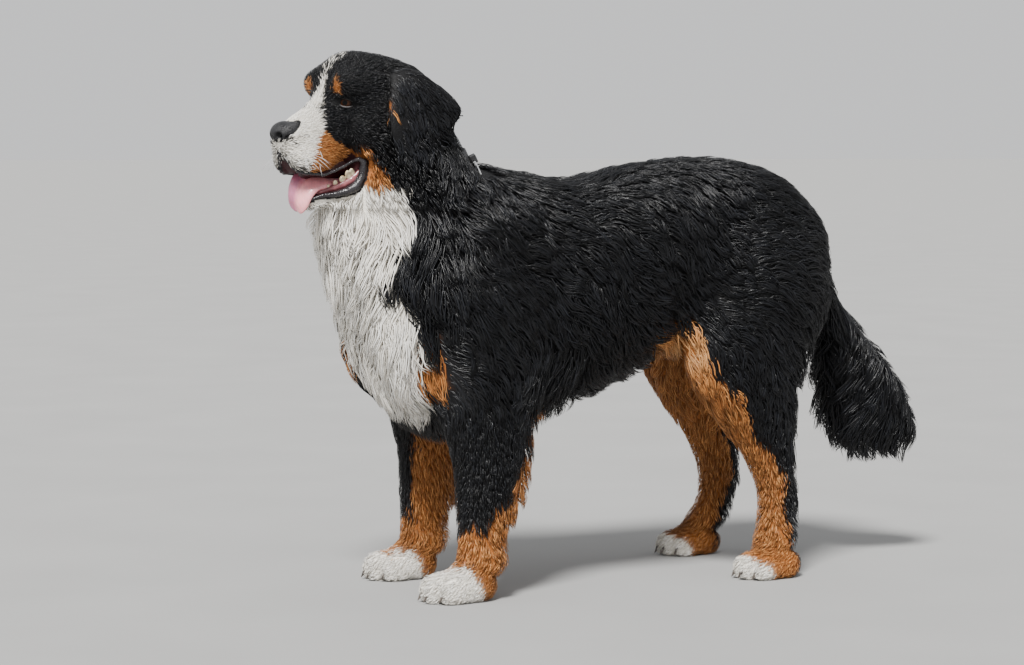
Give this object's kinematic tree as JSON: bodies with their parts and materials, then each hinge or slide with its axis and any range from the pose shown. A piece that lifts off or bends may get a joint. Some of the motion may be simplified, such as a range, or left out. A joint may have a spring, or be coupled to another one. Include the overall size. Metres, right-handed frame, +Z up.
{
  "type": "bernese mountain dog",
  "caption": "Still, life-size Bernese mountain dog standing square with its mouth open, long tricolour coat, plumed tail and a collar with a ring.",
  "frame": {"origin": "on the floor, at the centre of the model's outer box seen from above", "axes": "+Z up; -X the way the dog faces, so the tail is at +X; -Y the dog's left side"},
  "size_m": [1.1666, 0.3725, 0.8487],
  "materials": {
    "coat_black": "long glossy black hair",
    "coat_rust": "rich rust-brown hair",
    "coat_white": "soft white hair",
    "nose_leather": "moist pebbled black",
    "tongue": "moist pink",
    "eye": "wet dark brown",
    "lip": "moist black skin",
    "tooth": "cream enamel",
    "claw": "smooth dark horn",
    "collar_strap": "worn black strap",
    "collar_metal": "polished"
  },
  "bodies": {
    "root": {"head": "coat_black", "nose": "nose_leather", "lower_jaw": "coat_white", "tongue": "tongue", "eye_left": "eye", "eye_right": "eye", "ear_left": "coat_black", "ear_right": "coat_black", "neck": "coat_black", "chest": "coat_white", "torso": "coat_black", "tail": "coat_black", "foreleg_left": "coat_rust", "foreleg_right": "coat_rust", "forepaw_left": "coat_white", "forepaw_right": "coat_white", "thigh_left": "coat_black", "thigh_right": "coat_black", "hock_left": "coat_rust", "hock_right": "coat_rust", "hind_paw_left": "coat_white", "hind_paw_right": "coat_white", "collar_band": "collar_strap", "collar_loop": "collar_strap", "collar_ring": "collar_metal"}
  },
  "joints": []
}
